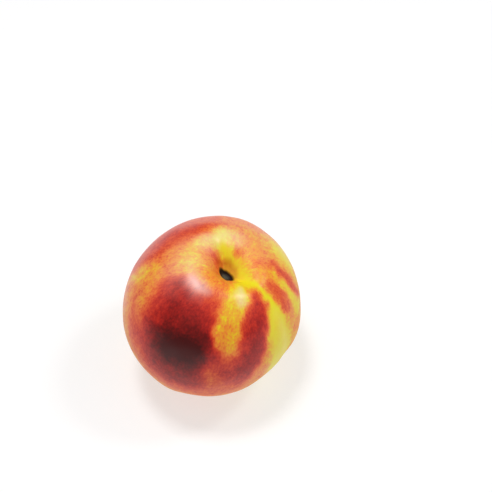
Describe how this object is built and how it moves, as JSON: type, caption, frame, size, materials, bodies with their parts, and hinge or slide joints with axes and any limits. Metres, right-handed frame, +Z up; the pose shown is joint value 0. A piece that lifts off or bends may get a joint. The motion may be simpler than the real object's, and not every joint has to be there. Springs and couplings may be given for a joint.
{
  "type": "nectarine",
  "caption": "Whole ripe nectarine with a stem cavity, a suture groove and a small point at its tip, lying on a small flat spot.",
  "frame": {"origin": "middle of the bounding box on the surface that the fruit lies on, which is on its flat spot", "axes": "+Z up; the stem end leans 17 degrees from +Z towards +X and a little towards -Y, and the suture runs down that side"},
  "size_m": [0.0678, 0.0704, 0.0652],
  "materials": {
    "nectarine_skin": "satin, waxy fruit skin, yellow with a red blush"
  },
  "bodies": {
    "root": {"nectarine": "nectarine_skin"}
  },
  "joints": []
}
